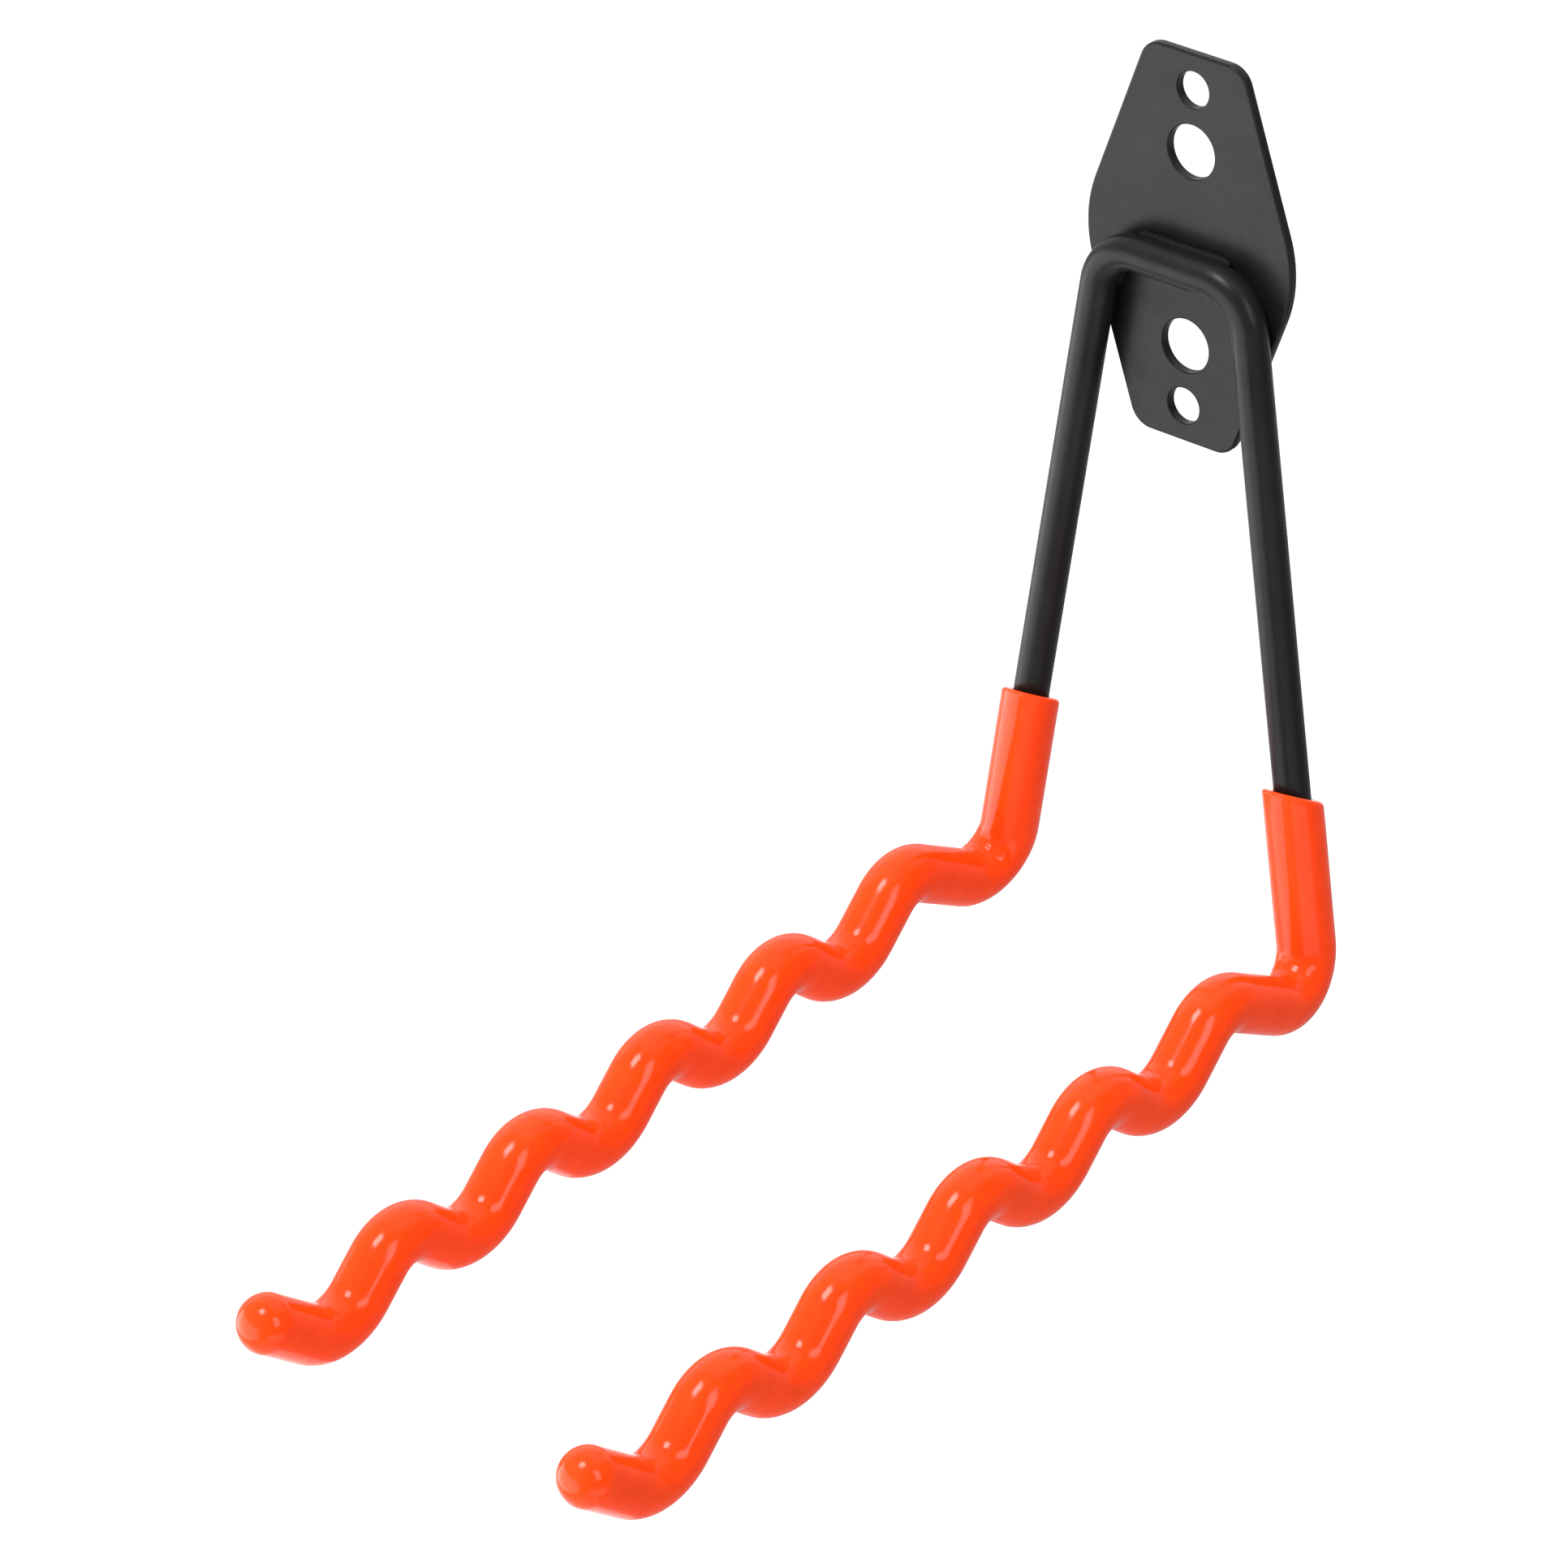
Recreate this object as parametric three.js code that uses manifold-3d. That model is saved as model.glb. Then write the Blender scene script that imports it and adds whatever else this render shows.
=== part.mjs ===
// Wall rack with two wavy arms: one bent steel rod welded across a punched steel backplate,
// with a soft sleeve over each arm. Millimetres, +Z up, +Y into the wall, arms along -Y.
// The origin is the centre of the backplate's rear face, which lies on the wall.
import * as THREE from 'three';
import { mergeVertices } from 'three/addons/utils/BufferGeometryUtils.js';
import Module from 'manifold-3d';

const wasm = await Module();
wasm.setup();

// Backplate: a long hexagon of sheet with rounded corners and a line of four screw holes.
const PLATE_HALF_HEIGHT = 44.7;
const PLATE_END_HALF_WIDTH = 12.6;
const PLATE_MIDDLE_HALF_WIDTH = 28.7;
const PLATE_END_CORNER_RADIUS = 5.6;
const PLATE_MIDDLE_CORNER_RADIUS = 29;
const PLATE_THICKNESS = 2.4;
const PLATE_EDGE_ROUND = 0.6;
const OUTER_HOLE_HEIGHT = 36.5;
const OUTER_HOLE_RADIUS = 4.1;
const INNER_HOLE_HEIGHT = 22.4;
const INNER_HOLE_RADIUS = 6.1;

// Rod: a bridge across the plate, two legs that spread as they fall, and two wavy arms.
const ROD_RADIUS = 4;
const ROD_GAP = 0.3;
const BRIDGE_HEIGHT = -2.3;
const BRIDGE_HALF_WIDTH = 18.6;
const BRIDGE_BEND_RADIUS = 10.7;
const FOOT_HALF_WIDTH = 43.2;
const FOOT_HEIGHT = -166.2;
const FOOT_BEND_RADIUS = 10;

// Wave of each arm: runs are measured forward from the foot, and rises up from it.
const WAVE_COUNT = 5;
const FIRST_CREST_RUN = 35.6;
const WAVE_PITCH = 40.7;
const CREST_TO_TROUGH_RUN = 19.5;
const WAVE_HEIGHT = 17.6;
const WAVE_BASE_RISE = 3.2;
const ARM_FALL_ANGLE = THREE.MathUtils.degToRad(4.6);
const CREST_BEND_RADIUS = 9.8;
const TROUGH_BEND_RADIUS = 12.8;
const TIP_RUN = 19.8;
const TIP_RISE = 15.6;

// Sleeve: a closed-ended soft tube over each arm and the lower part of its leg.
const SLEEVE_CLEARANCE = 0.3;
const SLEEVE_WALL = 2.2;
const SLEEVE_LEG_COVER = 50.7;
const SLEEVE_END_WALL = 2.6;
// Its mouth is cut slanting: higher on the leg's front than on its back, and a little to one side.
const MOUTH_SLANT = THREE.MathUtils.degToRad(28);
const MOUTH_LEAN = THREE.MathUtils.degToRad(6);
const WALL_CLEARANCE = 0.6;

// Weld beads: a straight one on top of the bridge, and one under it that follows both bends.
const WELD_RADIUS = 1.1;
const WELD_TUCK = 1.2;
const WELD_RISE = 0.9;
const UPPER_WELD_INSET = 7.1;
const LOWER_WELD_RUN_OUT = 0.8;

const ROD_SIDES = 12;
const WELD_SIDES = 10;
const HOLE_SIDES = 20;
const BEND_STEP = THREE.MathUtils.degToRad(18);

const ROD_Y = -(PLATE_THICKNESS + ROD_GAP + ROD_RADIUS);
const BORE_RADIUS = (ROD_RADIUS + SLEEVE_CLEARANCE) / Math.cos(Math.PI / ROD_SIDES);
const SLEEVE_RADIUS = ROD_RADIUS + SLEEVE_CLEARANCE + SLEEVE_WALL;
const FOOT_Y = -(SLEEVE_RADIUS + WALL_CLEARANCE);
const ROD_END_REACH = SLEEVE_RADIUS - SLEEVE_END_WALL - SLEEVE_CLEARANCE;
const WELD_OFFSET = ROD_RADIUS - WELD_TUCK;

const coatedSteel = new THREE.MeshStandardMaterial({ color: 0x2a2b2d, roughness: 0.5, metalness: 0.1 });
const softSleeve = new THREE.MeshStandardMaterial({ color: 0xf4400f, roughness: 0.28, metalness: 0 });

const corner = (x, y, z, radius = 0) => ({ point: new THREE.Vector3(x, y, z), radius });

// The centre line of a bent rod: straight runs with a station at each end, joined by arcs in even
// steps. Every sweep along the same bends shares these stations, so walls and gaps stay even.
class BentLine extends THREE.Curve {
  constructor(stations) {
    super();
    this.stations = stations;
    this.steps = stations.length - 1;
  }

  static through(corners) {
    const inner = corners.slice(1, -1);
    const bends = inner.flatMap((middle, i) => bendStations(corners[i].point, middle, corners[i + 2].point));
    return new BentLine([corners[0].point, ...bends, corners[corners.length - 1].point]);
  }

  tangent(i) {
    const direction = new THREE.Vector3();
    if (i > 0) direction.add(this.stations[i].clone().sub(this.stations[i - 1]).normalize());
    if (i < this.steps) direction.add(this.stations[i + 1].clone().sub(this.stations[i]).normalize());
    return direction.normalize();
  }

  getPointAt(u, target = new THREE.Vector3()) {
    return target.copy(this.stations[Math.round(u * this.steps)]);
  }

  getTangentAt(u, target = new THREE.Vector3()) {
    return target.copy(this.tangent(Math.round(u * this.steps)));
  }

  // The line beside this one in the plate's plane: above the bridge for a positive offset.
  beside(offset, y) {
    const stations = this.stations.map((station, i) => {
      const sideways = new THREE.Vector3(0, -1, 0).cross(this.tangent(i)).normalize();
      return station.clone().addScaledVector(sideways, offset).setY(y);
    });
    return new BentLine(stations);
  }
}

// How far from a corner its rounding arc starts and ends.
function bendReach(from, { point, radius }, to) {
  const back = from.clone().sub(point);
  const on = to.clone().sub(point);
  return radius / Math.tan(back.angleTo(on) / 2);
}

// Points at even steps round the arc that rounds a corner between two straight runs.
function bendStations(from, { point, radius }, to) {
  const back = from.clone().sub(point).normalize();
  const on = to.clone().sub(point).normalize();
  const halfAngle = back.angleTo(on) / 2;
  const turn = Math.PI - 2 * halfAngle;
  const inward = back.clone().add(on).normalize();
  const across = on.clone().sub(back).normalize();
  const centre = point.clone().addScaledVector(inward, radius / Math.sin(halfAngle));
  const steps = Math.max(2, Math.ceil(turn / BEND_STEP));
  return Array.from({ length: steps + 1 }, (_, i) => {
    const angle = turn * (i / steps - 0.5);
    return centre.clone()
      .addScaledVector(inward, -radius * Math.cos(angle))
      .addScaledVector(across, radius * Math.sin(angle));
  });
}

function circle(radius, sides, height = 0) {
  const points = Array.from({ length: sides }, (_, i) => {
    const angle = (2 * Math.PI * i) / sides;
    return new THREE.Vector2(radius * Math.cos(angle), height + radius * Math.sin(angle));
  });
  return new THREE.Shape(points);
}

function sweep(line, radius, sides = ROD_SIDES) {
  return new THREE.ExtrudeGeometry(circle(radius, sides), { steps: line.steps, extrudePath: line });
}

function solid(geometry) {
  const bare = geometry.clone();
  bare.deleteAttribute('normal');
  bare.deleteAttribute('uv');
  const merged = mergeVertices(bare, 1e-4);
  return new wasm.Manifold(new wasm.Mesh({
    numProp: 3,
    vertProperties: merged.attributes.position.array,
    triVerts: new Uint32Array(merged.index.array),
  }));
}

function surface(manifold) {
  const { vertProperties, triVerts } = manifold.getMesh();
  const geometry = new THREE.BufferGeometry();
  geometry.setAttribute('position', new THREE.BufferAttribute(vertProperties, 3));
  geometry.setIndex(new THREE.BufferAttribute(triVerts, 1));
  geometry.computeVertexNormals();
  return geometry;
}

// The corners of the rod's line: the bridge's ends, the feet, and each arm out to the centre of its
// sleeve's domed tip.
function bridgeEnd(side) {
  return corner(side * BRIDGE_HALF_WIDTH, ROD_Y, BRIDGE_HEIGHT, BRIDGE_BEND_RADIUS);
}

function foot(side) {
  return corner(side * FOOT_HALF_WIDTH, FOOT_Y, FOOT_HEIGHT, FOOT_BEND_RADIUS);
}

function armCorner(side, run, riseAboveBase, radius) {
  const rise = WAVE_BASE_RISE - run * Math.tan(ARM_FALL_ANGLE) + riseAboveBase;
  return corner(side * FOOT_HALF_WIDTH, FOOT_Y - run, FOOT_HEIGHT + rise, radius);
}

function armCorners(side) {
  const waves = Array.from({ length: WAVE_COUNT }, (_, i) => {
    const crestRun = FIRST_CREST_RUN + i * WAVE_PITCH;
    const crest = armCorner(side, crestRun, WAVE_HEIGHT, CREST_BEND_RADIUS);
    const trough = armCorner(side, crestRun + CREST_TO_TROUGH_RUN, 0, TROUGH_BEND_RADIUS);
    return [crest, trough];
  });
  const tipRun = FIRST_CREST_RUN + (WAVE_COUNT - 1) * WAVE_PITCH + CREST_TO_TROUGH_RUN + TIP_RUN;
  return [...waves.flat(), armCorner(side, tipRun, TIP_RISE)];
}

// A sharp corner on the straight run from one corner to the next, at a distance from the first.
function between(from, to, distance) {
  const along = to.point.clone().sub(from.point).normalize();
  return corner(...from.point.clone().addScaledVector(along, distance));
}

// The same corners with the last one moved further along its own run.
function lengthened(corners, distance) {
  const [before, last] = corners.slice(-2);
  return [...corners.slice(0, -1), between(last, before, -distance)];
}

function sleeveCorners(side, mouthHeight) {
  return [between(foot(side), bridgeEnd(side), mouthHeight), foot(side), ...armCorners(side)];
}

function backplate() {
  const rightSide = [
    corner(PLATE_END_HALF_WIDTH, -PLATE_HALF_HEIGHT, 0, PLATE_END_CORNER_RADIUS),
    corner(PLATE_MIDDLE_HALF_WIDTH, 0, 0, PLATE_MIDDLE_CORNER_RADIUS),
    corner(PLATE_END_HALF_WIDTH, PLATE_HALF_HEIGHT, 0, PLATE_END_CORNER_RADIUS),
  ];
  const leftSide = rightSide.map(({ point, radius }) => corner(-point.x, -point.y, 0, radius));
  const loop = [...rightSide, ...leftSide];
  const outline = loop.flatMap((middle, i) => {
    const before = loop.at(i - 1);
    const after = loop[(i + 1) % loop.length];
    return bendStations(before.point, middle, after.point);
  });
  const shape = new THREE.Shape(outline.map(({ x, y }) => new THREE.Vector2(x, y)));
  for (const height of [OUTER_HOLE_HEIGHT, -OUTER_HOLE_HEIGHT]) {
    shape.holes.push(circle(OUTER_HOLE_RADIUS, HOLE_SIDES, height));
  }
  for (const height of [INNER_HOLE_HEIGHT, -INNER_HOLE_HEIGHT]) {
    shape.holes.push(circle(INNER_HOLE_RADIUS, HOLE_SIDES, height));
  }
  const geometry = new THREE.ExtrudeGeometry(shape, {
    depth: PLATE_THICKNESS - 2 * PLATE_EDGE_ROUND,
    bevelThickness: PLATE_EDGE_ROUND,
    bevelSize: PLATE_EDGE_ROUND,
    bevelOffset: -PLATE_EDGE_ROUND,
    bevelSegments: 2,
  });
  return geometry.translate(0, 0, PLATE_EDGE_ROUND).rotateX(Math.PI / 2);
}

// One length of rod from tip to tip. Each end reaches past the centre of its sleeve's dome.
function rodLine() {
  const rightHalf = lengthened([bridgeEnd(1), foot(1), ...armCorners(1)], ROD_END_REACH);
  const leftHalf = lengthened([bridgeEnd(-1), foot(-1), ...armCorners(-1)], ROD_END_REACH);
  return BentLine.through([...leftHalf.reverse(), ...rightHalf]);
}

// The tube is made a radius too long on the leg and then cut along the plane of its mouth.
function sleeve(side) {
  const uncutCover = SLEEVE_LEG_COVER + SLEEVE_RADIUS;
  const line = BentLine.through(sleeveCorners(side, uncutCover));
  const boreCorners = sleeveCorners(side, uncutCover + SLEEVE_WALL);
  const bore = BentLine.through(lengthened(boreCorners, ROD_END_REACH + SLEEVE_CLEARANCE));
  const tip = line.stations.at(-1);
  const dome = new THREE.SphereGeometry(SLEEVE_RADIUS, ROD_SIDES, ROD_SIDES / 2).translate(...tip);
  const outside = solid(sweep(line, SLEEVE_RADIUS)).add(solid(dome));
  const tube = outside.subtract(solid(sweep(bore, BORE_RADIUS)));
  const mouth = between(foot(side), bridgeEnd(side), SLEEVE_LEG_COVER).point;
  const inward = new THREE.Vector3(Math.tan(MOUTH_LEAN), -Math.tan(MOUTH_SLANT), -1).normalize();
  return surface(tube.trimByPlane(inward.toArray(), inward.dot(mouth)));
}

// A fillet along the rod where it lies on the plate: a round bead cut clear of both.
function weldBead(line, offset) {
  const bead = sweep(line.beside(offset, -(PLATE_THICKNESS + WELD_RISE)), WELD_RADIUS, WELD_SIDES);
  const rodClearance = sweep(rodLine(), ROD_RADIUS + ROD_GAP);
  const plateWidth = 2 * PLATE_MIDDLE_HALF_WIDTH;
  const plateClearance = new THREE.BoxGeometry(plateWidth, PLATE_THICKNESS, 2 * PLATE_HALF_HEIGHT);
  plateClearance.translate(0, -PLATE_THICKNESS / 2 - ROD_GAP, 0);
  return surface(solid(bead).subtract(solid(rodClearance)).subtract(solid(plateClearance)));
}

function upperWeld() {
  const halfLength = BRIDGE_HALF_WIDTH - UPPER_WELD_INSET;
  const ends = [-halfLength, halfLength];
  const line = BentLine.through(ends.map((x) => corner(x, ROD_Y, BRIDGE_HEIGHT)));
  return weldBead(line, WELD_OFFSET);
}

function lowerWeld() {
  const legReach = bendReach(bridgeEnd(-1).point, bridgeEnd(1), foot(1).point) + LOWER_WELD_RUN_OUT;
  const leftEnd = between(bridgeEnd(-1), foot(-1), legReach);
  const rightEnd = between(bridgeEnd(1), foot(1), legReach);
  const line = BentLine.through([leftEnd, bridgeEnd(-1), bridgeEnd(1), rightEnd]);
  return weldBead(line, -WELD_OFFSET);
}

const rack = new THREE.Group();

function addPiece(name, geometry, material) {
  const mesh = new THREE.Mesh(geometry, material);
  mesh.name = name;
  rack.add(mesh);
}

addPiece('backplate', backplate(), coatedSteel);
addPiece('bent_rod', sweep(rodLine(), ROD_RADIUS), coatedSteel);
addPiece('upper_weld', upperWeld(), coatedSteel);
addPiece('lower_weld', lowerWeld(), coatedSteel);
addPiece('left_sleeve', sleeve(-1), softSleeve);
addPiece('right_sleeve', sleeve(1), softSleeve);

export default rack;
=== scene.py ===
"""Looks of the wall rack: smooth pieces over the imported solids, their materials, a studio and a camera.

Metres, in the frame's own axes: +X right along the wall, +Y into the wall, +Z up, arms along -Y.
"""
import math

import bmesh
import bpy
import numpy as np
from mathutils import Matrix, Vector


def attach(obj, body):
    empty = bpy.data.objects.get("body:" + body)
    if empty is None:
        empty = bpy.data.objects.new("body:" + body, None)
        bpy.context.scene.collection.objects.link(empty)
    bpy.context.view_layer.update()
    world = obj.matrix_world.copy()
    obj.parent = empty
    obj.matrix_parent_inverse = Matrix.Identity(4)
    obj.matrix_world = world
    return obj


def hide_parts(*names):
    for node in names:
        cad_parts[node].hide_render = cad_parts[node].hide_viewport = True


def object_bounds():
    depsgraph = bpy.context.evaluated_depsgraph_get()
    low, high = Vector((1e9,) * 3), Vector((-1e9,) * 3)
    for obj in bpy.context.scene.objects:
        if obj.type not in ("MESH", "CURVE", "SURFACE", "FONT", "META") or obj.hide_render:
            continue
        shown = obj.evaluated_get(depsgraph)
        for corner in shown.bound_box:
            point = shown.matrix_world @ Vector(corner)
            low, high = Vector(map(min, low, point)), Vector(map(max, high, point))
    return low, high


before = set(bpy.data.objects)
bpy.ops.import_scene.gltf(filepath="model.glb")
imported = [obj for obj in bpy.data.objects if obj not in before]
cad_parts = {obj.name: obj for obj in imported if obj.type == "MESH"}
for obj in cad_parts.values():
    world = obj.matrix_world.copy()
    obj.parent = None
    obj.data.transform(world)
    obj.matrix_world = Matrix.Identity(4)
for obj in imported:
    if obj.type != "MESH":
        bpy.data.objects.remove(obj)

cad_box = [list(corner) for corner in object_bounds()]
MM = 0.001

# The backplate's outline, sheet and holes, a hole as (height, radius).
PLATE_HALF_HEIGHT = 44.7 * MM
PLATE_END_HALF_WIDTH = 12.6 * MM
PLATE_MIDDLE_HALF_WIDTH = 28.7 * MM
PLATE_END_CORNER_RADIUS = 5.6 * MM
PLATE_MIDDLE_CORNER_RADIUS = 29 * MM
PLATE_THICKNESS = 2.4 * MM
PLATE_EDGE_ROUND = 0.6 * MM
HOLE_EDGE_ROUND = 0.35 * MM
HOLE_SIDES = 72
HOLES = [(36.5 * MM, 4.1 * MM), (22.4 * MM, 6.1 * MM), (-22.4 * MM, 6.1 * MM), (-36.5 * MM, 4.1 * MM)]

# The rod's corners and bends: the bridge across the plate, the feet and the arms' waves.
ROD_RADIUS = 4 * MM
ROD_Y = -6.7 * MM
BRIDGE_HEIGHT = -2.3 * MM
BRIDGE_HALF_WIDTH = 18.6 * MM
BRIDGE_BEND_RADIUS = 10.7 * MM
FOOT_Y = -7.1 * MM
FOOT_HALF_WIDTH = 43.2 * MM
FOOT_HEIGHT = -166.2 * MM
FOOT_BEND_RADIUS = 10 * MM
WAVE_COUNT = 5
FIRST_CREST_RUN = 35.6 * MM
WAVE_PITCH = 40.7 * MM
CREST_TO_TROUGH_RUN = 19.5 * MM
WAVE_HEIGHT = 17.6 * MM
WAVE_BASE_RISE = 3.2 * MM
ARM_FALL_ANGLE = math.radians(4.6)
CREST_BEND_RADIUS = 9.8 * MM
TROUGH_BEND_RADIUS = 12.8 * MM
TIP_RUN = 19.8 * MM
TIP_RISE = 15.6 * MM

# The sleeves, the rod's ends and the weld beads.
SLEEVE_RADIUS = 6.5 * MM
SLEEVE_BORE_RADIUS = 4.12 * MM
SLEEVE_LEG_COVER = 50.7 * MM
MOUTH_SLANT = math.radians(28)
MOUTH_LEAN = math.radians(6)
SLEEVE_LIP_ROUND = 1.0 * MM
BORE_EDGE_ROUND = 0.35 * MM
BORE_RING_DEPTHS = (14 * MM, 6 * MM, 2 * MM)
SLANT_FADE = (15 * MM, 32 * MM)
SLEEVE_RING_SPACING = 0.8 * MM
SLEEVE_SIDES = 64
ROD_END_REACH = 3.6 * MM
ROD_END_ROUND = 0.6 * MM
ROD_RING_SPACING = 1.2 * MM
ROD_SIDES = 48
WELD_RADIUS = 1.1 * MM
WELD_OFFSET = 2.8 * MM
WELD_Y = -3.3 * MM
UPPER_WELD_HALF_LENGTH = 11.5 * MM
LOWER_WELD_LEG_REACH = 10 * MM
WELD_END_TAPER = 2.2 * MM
WELD_OVERRUN = 0.5 * MM
WELD_RING_SPACING = 0.12 * MM
WELD_SIDES = 24
RIPPLE_PITCH = 1.5 * MM
RIPPLE_DEPTH = 0.08
WELD_WANDERS = [(0.05, 2.3 * MM, 0), (0.04, 0.9 * MM, 1)]

# The sleeves' skin: how far it swells, creases and shows the rod's end. Bends are curves in 1/m.
LEFT_SKIN_SEED = 0.4
RIGHT_SKIN_SEED = 1.7
UNEVENNESS = 0.025 * MM
LONG_SWELL_RUN = 17 * MM
SHORT_SWELL_RUN = 9 * MM
SHORT_SWELL_SHARE = 0.6
GENTLE_BEND = 25
SHARP_BEND = 85
CREASE_PITCH = 4.3 * MM
CREASE_SWAY = 0.6
WAVE_CREASE = 0.012 * MM
FOOT_CREASE = 0.05 * MM
FOOT_CREASE_REACH = 9 * MM
ROD_END_RIDGE = 0.05 * MM
ROD_END_RIDGE_AT = 1.2 * MM
ROD_END_RIDGE_WIDTH = 0.9 * MM
PLAIN_MOUTH_RUN = 6 * MM


# --- centre lines ---------------------------------------------------------------------------


def rounded(corners, step_angle=math.radians(3), closed=False):
    """The points of a line through corners (point, radius), each corner rounded by an arc."""
    points = [] if closed else [Vector(corners[0][0])]
    count = len(corners)
    for i in range(0 if closed else 1, count if closed else count - 1):
        point, radius = Vector(corners[i][0]), corners[i][1]
        back = (Vector(corners[i - 1][0]) - point).normalized()
        on = (Vector(corners[(i + 1) % count][0]) - point).normalized()
        half = back.angle(on) / 2
        turn = math.pi - 2 * half
        inward = (back + on).normalized()
        across = (on - back).normalized()
        centre = point + inward * (radius / math.sin(half))
        steps = max(2, math.ceil(turn / step_angle))
        for k in range(steps + 1):
            angle = turn * (k / steps - 0.5)
            points.append(centre - inward * radius * math.cos(angle) + across * radius * math.sin(angle))
    return points if closed else [*points, Vector(corners[-1][0])]


class Line:
    """A line by its length: points, tangents, turning frames and bends at any distance along it."""

    def __init__(self, points, spacing=0.8 * MM):
        raw = np.array([list(p) for p in points])
        lengths = np.concatenate([[0], np.cumsum(np.linalg.norm(np.diff(raw, axis=0), axis=1))])
        self.length = lengths[-1]
        self.s = np.linspace(0, self.length, int(self.length / spacing) + 2)
        self.points = np.stack([np.interp(self.s, lengths, raw[:, k]) for k in range(3)], 1)
        tangents = np.gradient(self.points, self.s, axis=0)
        self.tangents = tangents / np.linalg.norm(tangents, axis=1)[:, None]
        self.bends = np.gradient(self.tangents, self.s, axis=0)
        side = np.cross(self.tangents[0], [0.3, 1.0, 0.2])
        sides = []
        for tangent in self.tangents:
            side = side - tangent * (side @ tangent)
            side = side / np.linalg.norm(side)
            sides.append(side)
        self.sides = np.array(sides)

    def at(self, values, s):
        """values along the line read at the distances s, held at its ends."""
        return np.stack([np.interp(s, self.s, values[:, k]) for k in range(3)], 1)

    def rings(self, s):
        """Centres, tangents, two cross directions and bends at the distances s.
        Past its ends the line runs on straight."""
        s = np.asarray(s, float)
        tangents = self.at(self.tangents, s)
        tangents /= np.linalg.norm(tangents, axis=1)[:, None]
        over = s - np.clip(s, 0, self.length)
        centres = self.at(self.points, s) + tangents * over[:, None]
        sides = self.at(self.sides, s)
        sides -= tangents * np.sum(sides * tangents, 1)[:, None]
        sides /= np.linalg.norm(sides, axis=1)[:, None]
        inside = (over == 0)[:, None]
        return centres, tangents, sides, np.cross(tangents, sides), self.at(self.bends, s) * inside

    def beside(self, offset, y):
        """The line beside this one in the plate's plane: above the bridge for a positive offset."""
        across = np.cross([0, -1, 0], self.tangents)
        across /= np.linalg.norm(across, axis=1)[:, None]
        moved = self.points + across * offset
        moved[:, 1] = y
        return Line([Vector(p) for p in moved])


def bridge_end(side):
    return (side * BRIDGE_HALF_WIDTH, ROD_Y, BRIDGE_HEIGHT), BRIDGE_BEND_RADIUS


def foot(side):
    return (side * FOOT_HALF_WIDTH, FOOT_Y, FOOT_HEIGHT), FOOT_BEND_RADIUS


def arm_corner(side, run, rise_above_base, radius=0.0):
    rise = WAVE_BASE_RISE - run * math.tan(ARM_FALL_ANGLE) + rise_above_base
    return (side * FOOT_HALF_WIDTH, FOOT_Y - run, FOOT_HEIGHT + rise), radius


def arm_corners(side):
    corners = []
    for i in range(WAVE_COUNT):
        crest_run = FIRST_CREST_RUN + i * WAVE_PITCH
        corners.append(arm_corner(side, crest_run, WAVE_HEIGHT, CREST_BEND_RADIUS))
        corners.append(arm_corner(side, crest_run + CREST_TO_TROUGH_RUN, 0, TROUGH_BEND_RADIUS))
    last_run = FIRST_CREST_RUN + (WAVE_COUNT - 1) * WAVE_PITCH + CREST_TO_TROUGH_RUN
    return [*corners, arm_corner(side, last_run + TIP_RUN, TIP_RISE)]


def between(start, end, distance):
    a, b = Vector(start[0]), Vector(end[0])
    return a + (b - a).normalized() * distance, 0.0


# --- meshes ---------------------------------------------------------------------------------


def add_piece(name, bm, material, nodes):
    """One smooth piece from a bmesh, standing for its CAD nodes and riding on the rack's one body."""
    bmesh.ops.recalc_face_normals(bm, faces=bm.faces)
    mesh = bpy.data.meshes.new(name)
    bm.to_mesh(mesh)
    bm.free()
    mesh.shade_smooth()
    mesh.materials.append(material)
    piece = bpy.data.objects.new(name, mesh)
    bpy.context.scene.collection.objects.link(piece)
    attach(piece, "root")
    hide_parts(*nodes)
    return piece


def loft(line, profile, sides, relief=None, slant=None):
    """A round piece along a line. profile is (distance, radius) rows; a radius of 0 closes an end.
    relief(distances, angles, inner) gives how far the skin stands out; inner is the bend's curve there.
    slant(distances, offsets, tangents) slides the skin along the line."""
    s = np.array([row[0] for row in profile])
    radii = np.array([row[1] for row in profile])
    centres, tangents, u, v, bends = line.rings(s)
    angles = np.linspace(0, 2 * np.pi, sides, endpoint=False)
    out = u[:, None, :] * np.cos(angles)[None, :, None] + v[:, None, :] * np.sin(angles)[None, :, None]
    skin = radii[:, None] * np.ones(sides)
    if relief:
        inner = np.einsum("ijk,ik->ij", out, bends)
        skin = skin + relief(s[:, None], angles[None, :], inner) * (radii > 0)[:, None]
    offsets = out * skin[:, :, None]
    places = centres[:, None, :] + offsets
    if slant:
        slides = slant(s[:, None], offsets, tangents[:, None, :])
        places = places + tangents[:, None, :] * slides[:, :, None]
    bm = bmesh.new()
    rows = []
    for i, radius in enumerate(radii):
        if radius == 0:
            rows.append([bm.verts.new(centres[i])])
        else:
            rows.append([bm.verts.new(p) for p in places[i]])
    for a, b in zip(rows, rows[1:]):
        for k in range(sides):
            n = (k + 1) % sides
            if len(a) == 1:
                bm.faces.new((a[0], b[k], b[n]))
            elif len(b) == 1:
                bm.faces.new((a[k], b[0], a[n]))
            else:
                bm.faces.new((a[k], b[k], b[n], a[n]))
    return bm


def arc(centre_s, centre_r, radius, start, end, steps):
    """Rows of a profile round an arc, by angle from the line's own direction."""
    return [
        (centre_s + radius * math.cos(t), centre_r + radius * math.sin(t))
        for t in np.linspace(math.radians(start), math.radians(end), steps)
    ]


def smoothstep(low, high, x):
    t = np.clip((x - low) / (high - low), 0, 1)
    return t * t * (3 - 2 * t)


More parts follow.
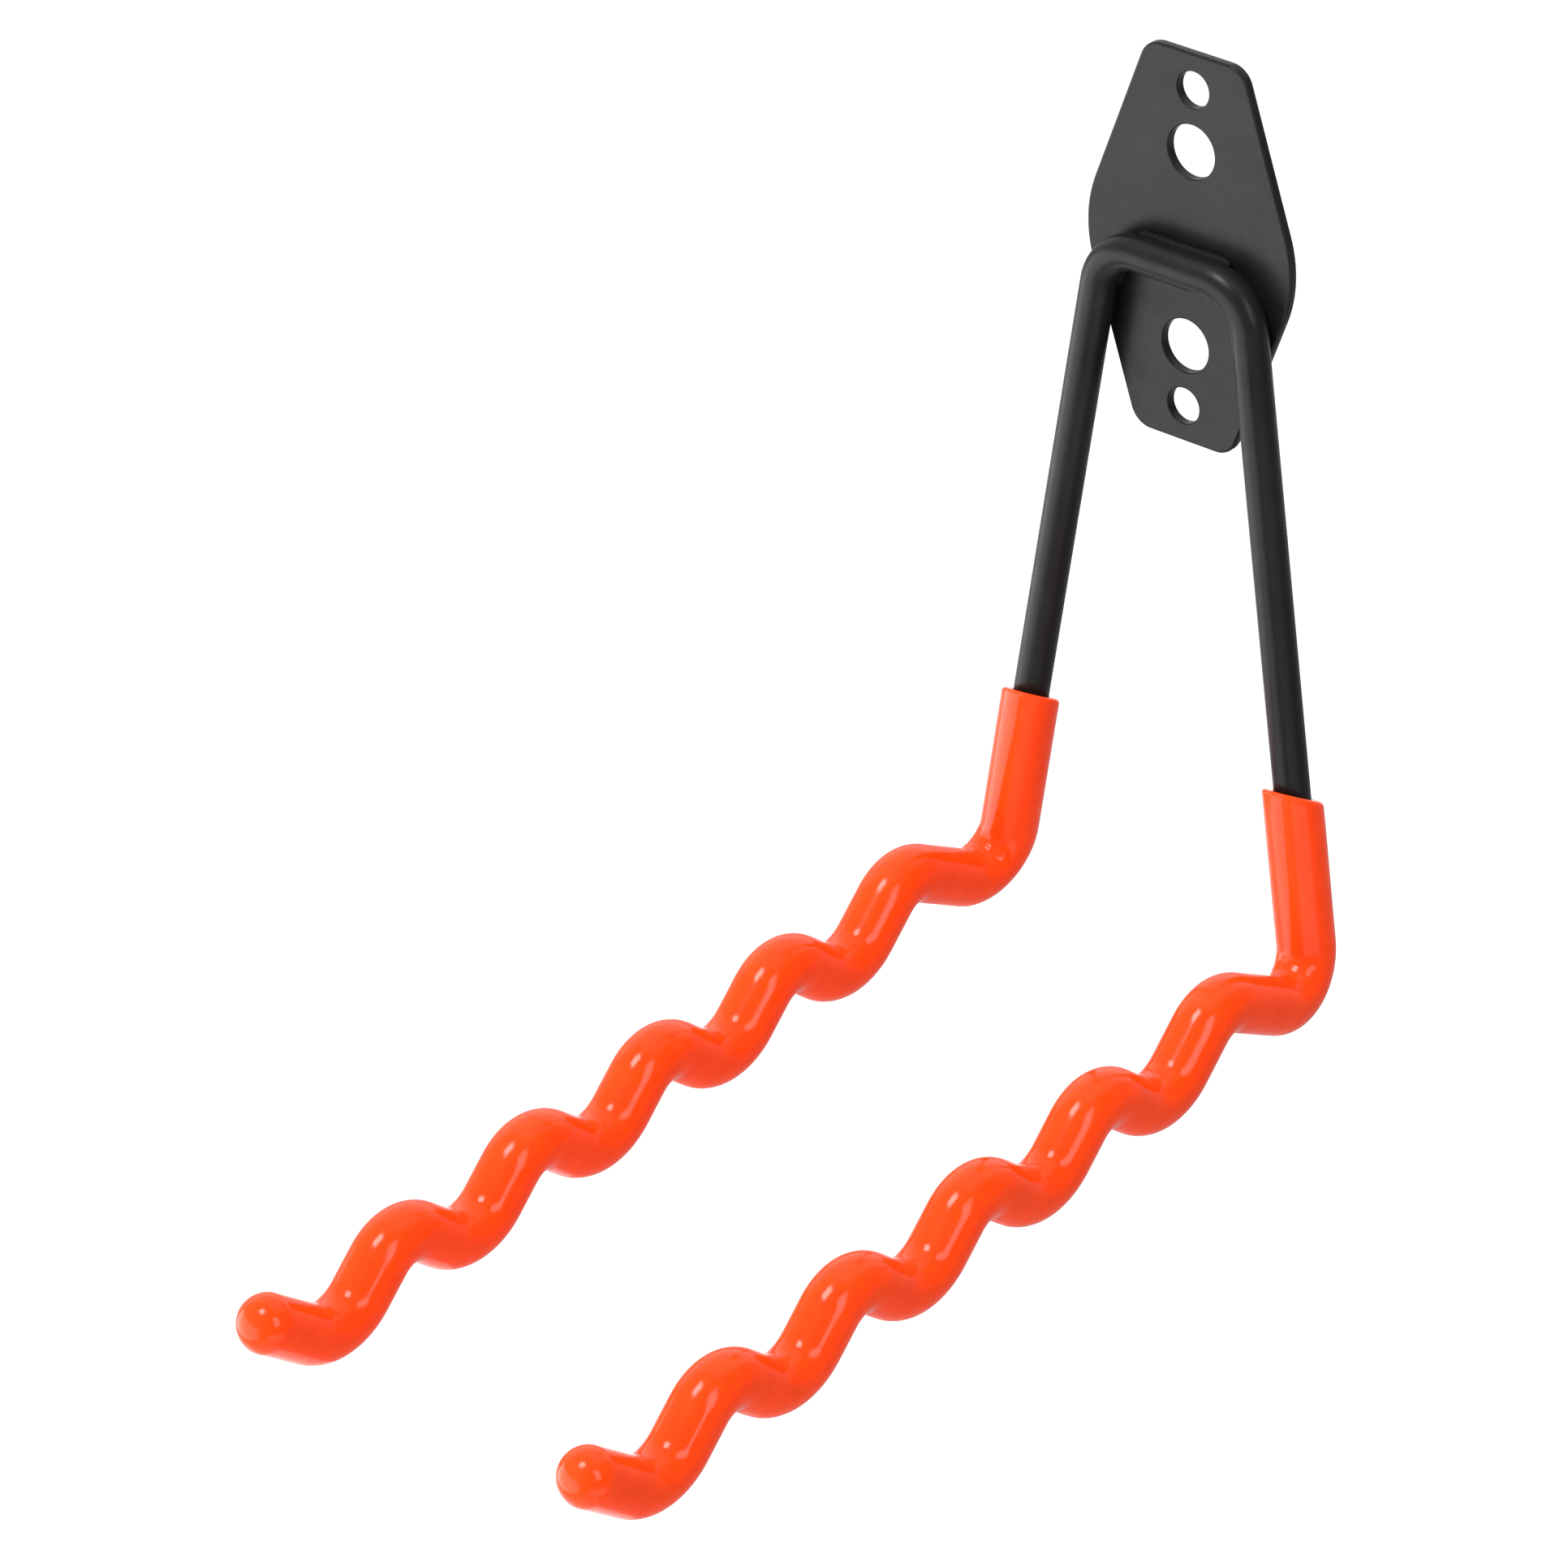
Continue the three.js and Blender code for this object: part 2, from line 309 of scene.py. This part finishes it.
def hump(s, middle, width):
    return np.exp(-(((s - middle) / width) ** 2))


def sleeve(side, name, material):
    mouth = between(foot(side), bridge_end(side), SLEEVE_LEG_COVER)
    line = Line(rounded([mouth, foot(side), *arm_corners(side)]))
    lip = SLEEVE_LIP_ROUND
    bore_edge = BORE_EDGE_ROUND
    profile = [(depth, SLEEVE_BORE_RADIUS) for depth in BORE_RING_DEPTHS]
    profile += arc(bore_edge, SLEEVE_BORE_RADIUS + bore_edge, bore_edge, -90, -180, 6)
    profile += arc(lip, SLEEVE_RADIUS - lip, lip, 180, 90, 9)
    body = np.arange(lip + SLEEVE_RING_SPACING, line.length, SLEEVE_RING_SPACING)
    profile += [(s, SLEEVE_RADIUS) for s in body]
    profile += arc(line.length, 0, SLEEVE_RADIUS, 90, 4, 18)
    profile += [(line.length + SLEEVE_RADIUS, 0)]

    def relief(s, angles, inner):
        """The skin: soft unevenness, creases inside each bend, the rod's end showing."""
        seed = RIGHT_SKIN_SEED if side > 0 else LEFT_SKIN_SEED
        long_swell = np.sin(s / LONG_SWELL_RUN + seed) * np.cos(2 * angles + seed)
        short_swell = np.sin(s / SHORT_SWELL_RUN - 2 * seed + angles)
        uneven = UNEVENNESS * (long_swell + SHORT_SWELL_SHARE * short_swell)
        bend = smoothstep(GENTLE_BEND, SHARP_BEND, inner)
        near_foot = hump(s, SLEEVE_LEG_COVER, FOOT_CREASE_REACH)
        phase = 2 * np.pi * s / CREASE_PITCH + CREASE_SWAY * np.sin(2 * angles + seed)
        crease = bend * (WAVE_CREASE + FOOT_CREASE * near_foot) * (np.cos(phase) - 1)
        rod_end = ROD_END_RIDGE * hump(s, line.length + ROD_END_RIDGE_AT, ROD_END_RIDGE_WIDTH)
        return (uneven + crease + rod_end) * smoothstep(0, PLAIN_MOUTH_RUN, s - lip)

    def slant(s, offsets, tangents):
        """The mouth is cut slanting, higher on the leg's front and a little higher on one side."""
        facing = np.array([-math.tan(MOUTH_LEAN), math.tan(MOUTH_SLANT), 1])
        slide = -(offsets @ facing) / (tangents @ facing)
        return slide * (1 - smoothstep(*SLANT_FADE, s))

    bm = loft(line, profile, SLEEVE_SIDES, relief, slant)
    add_piece(name + "_vinyl", bm, material, [name])


def rod(material):
    corners = {side: [bridge_end(side), foot(side), *arm_corners(side)] for side in (-1, 1)}
    line = Line(rounded([*corners[-1][::-1], *corners[1]]))
    end = line.length + ROD_END_REACH
    edge = ROD_END_ROUND
    profile = [(-ROD_END_REACH, 0)]
    profile += arc(-ROD_END_REACH + edge, ROD_RADIUS - edge, edge, 180, 90, 5)
    profile += [(s, ROD_RADIUS) for s in np.arange(0, line.length, ROD_RING_SPACING)]
    profile += arc(end - edge, ROD_RADIUS - edge, edge, 90, 0, 5)
    profile += [(end, 0)]
    bm = loft(line, profile, ROD_SIDES)
    add_piece("rod", bm, material, ["bent_rod"])


def weld(name, line, material):
    """A hand-laid fillet: overlapping ripples that taper in at both ends."""
    over = WELD_OVERRUN
    first = 0.1 * MM
    profile = [(-over, 0)]
    for s in np.arange(first - over, line.length + over - first, WELD_RING_SPACING):
        end = min(s + over, line.length + over - s)
        fullness = math.sqrt(1 - (1 - min(end / WELD_END_TAPER, 1)) ** 2)
        ripple = abs(math.sin(math.pi * s / RIPPLE_PITCH))
        wander = sum(share * math.sin(s / run + phase) for share, run, phase in WELD_WANDERS)
        swell = 1 - RIPPLE_DEPTH + RIPPLE_DEPTH * ripple + wander
        profile.append((s, WELD_RADIUS * fullness * swell))
    profile.append((line.length + over, 0))
    bm = loft(line, profile, WELD_SIDES)
    add_piece(name + "_bead", bm, material, [name])


def upper_weld(material):
    ends = [Vector((side * UPPER_WELD_HALF_LENGTH, ROD_Y, BRIDGE_HEIGHT)) for side in (-1, 1)]
    weld("upper_weld", Line(ends).beside(WELD_OFFSET, WELD_Y), material)


def lower_weld(material):
    left, right = (between(bridge_end(side), foot(side), LOWER_WELD_LEG_REACH) for side in (-1, 1))
    line = Line(rounded([left, bridge_end(-1), bridge_end(1), right]))
    weld("lower_weld", line.beside(-WELD_OFFSET, WELD_Y), material)


def plate_outline():
    """The plate's rounded long hexagon, as (x, z) points."""
    half = [
        ((PLATE_END_HALF_WIDTH, 0, -PLATE_HALF_HEIGHT), PLATE_END_CORNER_RADIUS),
        ((PLATE_MIDDLE_HALF_WIDTH, 0, 0), PLATE_MIDDLE_CORNER_RADIUS),
        ((PLATE_END_HALF_WIDTH, 0, PLATE_HALF_HEIGHT), PLATE_END_CORNER_RADIUS),
    ]
    corners = half + [((-x, 0, -z), radius) for (x, _, z), radius in half]
    points = rounded(corners, math.radians(2.5), closed=True)
    return np.array([(x, z) for x, _, z in points])


def hole_outline(height, radius):
    t = np.linspace(0, 2 * np.pi, HOLE_SIDES, endpoint=False)
    return np.stack([radius * np.cos(t), height + radius * np.sin(t)], 1)


def plate(material):
    """The stamped plate: flat faces between rounded outer and hole edges."""
    loops = [(plate_outline(), PLATE_EDGE_ROUND, 1)]
    loops += [(hole_outline(height, radius), HOLE_EDGE_ROUND, -1) for height, radius in HOLES]
    bm = bmesh.new()
    rims = {"front": [], "rear": []}
    for points, edge, into_sheet in loops:
        along = np.roll(points, -1, 0) - np.roll(points, 1, 0)
        along /= np.linalg.norm(along, axis=1)[:, None]
        inward = np.stack([-along[:, 1], along[:, 0]], 1) * into_sheet
        turns = [math.radians(t) for t in np.linspace(0, 90, 6)]
        levels = [(edge * (1 - math.sin(t)), -edge * (1 - math.cos(t))) for t in turns]
        levels += [(inset, -PLATE_THICKNESS - y) for inset, y in reversed(levels)]
        rows = []
        for inset, y in levels:
            moved = points + inward * inset
            rows.append([bm.verts.new((x, y, z)) for x, z in moved])
        for a, b in zip(rows, rows[1:]):
            for k in range(len(points)):
                n = (k + 1) % len(points)
                bm.faces.new((a[k], b[k], b[n], a[n]))
        rims["rear"].append(rows[0])
        rims["front"].append(rows[-1])
    for rim in rims.values():
        edges = [bm.edges.get((row[k - 1], row[k])) for row in rim for k in range(len(row))]
        bmesh.ops.triangle_fill(bm, edges=edges, use_beauty=True)
    piece = add_piece("plate", bm, material, ["backplate"])
    weighted = piece.modifiers.new("flat_faces", "WEIGHTED_NORMAL")
    weighted.keep_sharp = True


# --- materials ------------------------------------------------------------------------------


# Most noise lies within MOST_NOISE; colours are linear and come in pairs that a surface wanders between.
MOST_NOISE = (0.3, 0.7)
COAT_COLOURS = (0.0055, 0.0055, 0.0057), (0.0085, 0.0085, 0.0087)
COAT_ROUGHNESS_SPREAD = 0.09
VINYL_COLOURS = (0.72, 0.041, 0.003), (0.78, 0.048, 0.004)
VINYL_ROUGHNESS = (0.12, 0.17)
PAPER_COLOURS = (0.955, 0.955, 0.955), (0.97, 0.97, 0.97)
CARD_GREY = (0.2, 0.2, 0.2)


class Shader:
    """A Principled material under construction, in the object's own coordinates."""

    def __init__(self, name):
        self.material = bpy.data.materials.new(name)
        self.material.use_nodes = True
        self.tree = self.material.node_tree
        self.bsdf = self.tree.nodes["Principled BSDF"]
        self.place = self.tree.nodes.new("ShaderNodeTexCoord").outputs["Object"]

    def link(self, source, target):
        self.tree.links.new(source, target)

    def put(self, **values):
        """Sets plain values of the surface: put(Base_Color=...) sets its Base Color."""
        for name, value in values.items():
            self.bsdf.inputs[name.replace("_", " ")].default_value = value

    def noise(self, size, detail=2.0, roughness=0.5, distortion=0.0):
        """Noise whose lumps are about size metres across."""
        node = self.tree.nodes.new("ShaderNodeTexNoise")
        node.inputs["Scale"].default_value = 1 / size
        node.inputs["Detail"].default_value = detail
        node.inputs["Roughness"].default_value = roughness
        node.inputs["Distortion"].default_value = distortion
        self.link(self.place, node.inputs["Vector"])
        return node.outputs["Fac"]

    def spread(self, noise, low, high):
        """The noise, which mostly lies within MOST_NOISE, spread out between low and high."""
        node = self.tree.nodes.new("ShaderNodeMapRange")
        for socket, number in zip(node.inputs[1:5], (*MOST_NOISE, low, high)):
            socket.default_value = number
        self.link(noise, node.inputs["Value"])
        return node.outputs["Result"]

    def colour(self, noise, first, second):
        """The surface's colour, wandering between two by the noise."""
        node = self.tree.nodes.new("ShaderNodeMix")
        node.data_type = "RGBA"
        node.inputs["A"].default_value = (*first, 1)
        node.inputs["B"].default_value = (*second, 1)
        self.link(self.spread(noise, 0, 1), node.inputs["Factor"])
        self.link(node.outputs["Result"], self.bsdf.inputs["Base Color"])

    def roughness(self, noise, smoothest, roughest):
        """The surface's roughness, wandering between two by the noise."""
        self.link(self.spread(noise, smoothest, roughest), self.bsdf.inputs["Roughness"])

    def relief(self, *layers):
        """Fine unevenness on the surface, as layers (noise, depth)."""
        normal = None
        for noise, depth in layers:
            node = self.tree.nodes.new("ShaderNodeBump")
            node.inputs["Strength"].default_value = 1
            node.inputs["Distance"].default_value = depth
            self.link(noise, node.inputs["Height"])
            if normal:
                self.link(normal, node.inputs["Normal"])
            normal = node.outputs["Normal"]
        self.link(normal, self.bsdf.inputs["Normal"])


def powder_coat(name, grain=0.7 * MM, grain_depth=0.02 * MM, shine=0.115, rough=0.28):
    """Satin black powder coat: fine orange peel, faint cloudiness and a slightly uneven sheen."""
    shader = Shader(name)
    shader.colour(shader.noise(14 * MM, 3), *COAT_COLOURS)
    shader.roughness(shader.noise(4 * MM, 4), rough, rough + COAT_ROUGHNESS_SPREAD)
    shader.put(Specular_IOR_Level=shine)
    peel = shader.noise(grain, 2), grain_depth
    shader.relief(peel, (shader.noise(5 * MM, 1), 0.05 * MM))
    return shader.material


def soft_vinyl(name):
    """Glossy dipped vinyl: deep orange-red with faint streaks, a wet shine and a slightly wavy skin."""
    shader = Shader(name)
    shader.colour(shader.noise(9 * MM, 4, 0.6, 1.2), *VINYL_COLOURS)
    shader.roughness(shader.noise(6 * MM, 3), *VINYL_ROUGHNESS)
    skin = shader.noise(11 * MM, 1), 0.03 * MM
    shader.relief(skin, (shader.noise(1.6 * MM, 1), 0.002 * MM))
    shader.put(Subsurface_Weight=0.12, Subsurface_Radius=(1.0, 0.25, 0.08), Subsurface_Scale=1.5 * MM)
    shader.put(Specular_IOR_Level=0.14)
    return shader.material


def pale_floor():
    shader = Shader("studio_floor")
    shader.colour(shader.noise(0.4, 2), *PAPER_COLOURS)
    shader.put(Roughness=0.9, Specular_IOR_Level=0.1)
    return shader.material


def grey_card():
    shader = Shader("grey_card")
    shader.put(Base_Color=(*CARD_GREY, 1), Roughness=1)
    return shader.material


coat = powder_coat("black_powder_coat")
bead_coat = powder_coat("black_powder_coat_on_weld", 0.5 * MM, 0.03 * MM, shine=0.05, rough=0.55)
vinyl = soft_vinyl("orange_vinyl")

plate(coat)
rod(coat)
upper_weld(bead_coat)
lower_weld(bead_coat)
sleeve(-1, "left_sleeve", vinyl)
sleeve(1, "right_sleeve", vinyl)


# --- studio ---------------------------------------------------------------------------------

FLOOR_DROP = 1.1
FLOOR_HALF_WIDTH = 30
ROOM_BRIGHT = 0.75
ROOM_DIM = 0.25
DIM_FROM = 0.1
DIM_TO = 0.8
BACKDROP_DISTANCE = 2.2
BACKDROP_LIGHT_HEIGHT = 1.6
BACKDROP_LIGHT_WIDTH = 3.4
BACKDROP_RADIANCE = 0.9

# The softboxes, as (name, azimuth, elevation, distance, width, height, radiance).
SOFTBOXES = [
    ("left_box", -40, -14, 1.3, 2.9, 1.1, 4.5),
    ("top_spot", -16, 65, 1.5, 0.5, 0.5, 30),
    ("right_low_box", 66, -27, 1.3, 1.3, 0.5, 1.9),
    ("right_strip", 78, 30, 1.5, 0.5, 0.9, 8.5),
]

low, high = (Vector(corner) for corner in cad_box)
centre = (low + high) / 2


def direction(azimuth, elevation):
    """The way from the object to a place round it, in degrees.
    Azimuth 0 is in front of the wall and 90 to its right."""
    a, e = math.radians(azimuth), math.radians(elevation)
    return Vector((math.sin(a) * math.cos(e), -math.cos(a) * math.cos(e), math.sin(e)))


def stand_unseen(thing, place, aim):
    """Puts a light or a card at one place, facing another, where the camera does not see it."""
    thing.location = place
    thing.rotation_mode = "QUATERNION"
    thing.rotation_quaternion = (place - aim).normalized().to_track_quat("Z", "Y")
    thing.visible_camera = False
    bpy.context.scene.collection.objects.link(thing)


def pale_ground():
    """A wide pale floor well under the object."""
    mesh = bpy.data.meshes.new("studio_floor")
    bm = bmesh.new()
    bmesh.ops.create_grid(bm, x_segments=8, y_segments=8, size=FLOOR_HALF_WIDTH)
    bm.to_mesh(mesh)
    bm.free()
    mesh.materials.append(pale_floor())
    floor = bpy.data.objects.new("studio_floor", mesh)
    floor.location = (centre.x, centre.y, low.z - FLOOR_DROP)
    bpy.context.scene.collection.objects.link(floor)


def room(bright, dim, dark_side):
    """A pale room that is dimmer on one side, so that round surfaces turn from light to shade."""
    world = bpy.data.worlds.new("studio")
    world.use_nodes = True
    bpy.context.scene.world = world
    tree = world.node_tree
    where = tree.nodes.new("ShaderNodeTexCoord").outputs["Generated"]
    facing = tree.nodes.new("ShaderNodeVectorMath")
    facing.operation = "DOT_PRODUCT"
    facing.inputs[1].default_value = dark_side
    tree.links.new(where, facing.inputs[0])
    level = tree.nodes.new("ShaderNodeMapRange")
    level.interpolation_type = "SMOOTHSTEP"
    for socket, number in zip(level.inputs[1:5], (DIM_FROM, DIM_TO, bright, dim)):
        socket.default_value = number
    tree.links.new(facing.outputs["Value"], level.inputs["Value"])
    tree.nodes["Background"].inputs["Color"].default_value = (1, 1, 1, 1)
    tree.links.new(level.outputs["Result"], tree.nodes["Background"].inputs["Strength"])


def lamp(name, place, aim, width, height, radiance):
    """A soft rectangular light at one place, facing another."""
    data = bpy.data.lights.new(name, "AREA")
    data.shape = "RECTANGLE"
    data.size = width
    data.size_y = height
    data.energy = radiance * math.pi * width * height
    stand_unseen(bpy.data.objects.new(name, data), place, aim)


def softbox(name, azimuth, elevation, distance, width, height, radiance):
    lamp(name, centre + direction(azimuth, elevation) * distance, centre, width, height, radiance)


def shade_card(azimuth, elevation, distance, width, height):
    """A grey card low behind the rack that keeps the bright floor out of its shaded sides."""
    mesh = bpy.data.meshes.new("shade_card")
    across, along = width / 2, height / 2
    corners = [(-across, -along, 0), (across, -along, 0), (across, along, 0), (-across, along, 0)]
    mesh.from_pydata(corners, [], [(0, 1, 2, 3)])
    mesh.materials.append(grey_card())
    card = bpy.data.objects.new("shade_card", mesh)
    stand_unseen(card, centre + direction(azimuth, elevation) * distance, centre)


def backdrop_light(behind):
    """A light straight above the floor behind the object, which keeps that floor evenly pale."""
    spot = Vector((centre.x, centre.y, low.z - FLOOR_DROP)) + behind * BACKDROP_DISTANCE
    above = spot + Vector((0, 0, BACKDROP_LIGHT_HEIGHT))
    lamp("backdrop_light", above, spot, BACKDROP_LIGHT_WIDTH, BACKDROP_LIGHT_WIDTH, BACKDROP_RADIANCE)


pale_ground()
room(ROOM_BRIGHT, ROOM_DIM, dark_side=direction(90, 10))
for box in SOFTBOXES:
    softbox(*box)
shade_card(azimuth=150, elevation=-52, distance=0.42, width=0.8, height=0.55)
backdrop_light(behind=direction(220, 0))


# --- camera ---------------------------------------------------------------------------------

CAMERA_AZIMUTH = 39.87
CAMERA_ELEVATION = 28.87
CAMERA_ROLL = 0.23
CAMERA_DISTANCE = 1.71613
ORIGIN_RIGHT_OF_AXIS = 0.08628
ORIGIN_ABOVE_AXIS = 0.11288
LENS = 187.6

turn, roll = math.radians(CAMERA_AZIMUTH), math.radians(CAMERA_ROLL)
level = Vector((math.cos(turn), math.sin(turn), 0))
back = direction(CAMERA_AZIMUTH, CAMERA_ELEVATION)
upright = back.cross(level)
right = level * math.cos(roll) + upright * math.sin(roll)
up = upright * math.cos(roll) - level * math.sin(roll)
camera_data = bpy.data.cameras.new("camera")
camera_data.lens = LENS
camera_data.sensor_width = 36
camera = bpy.data.objects.new("camera", camera_data)
camera.rotation_mode = "QUATERNION"
camera.rotation_quaternion = Matrix((right, up, back)).transposed().to_quaternion()
camera.location = back * CAMERA_DISTANCE - right * ORIGIN_RIGHT_OF_AXIS - up * ORIGIN_ABOVE_AXIS
bpy.context.scene.collection.objects.link(camera)
bpy.context.scene.camera = camera
bpy.context.scene.view_settings.view_transform = "Standard"

bpy.context.view_layer.update()
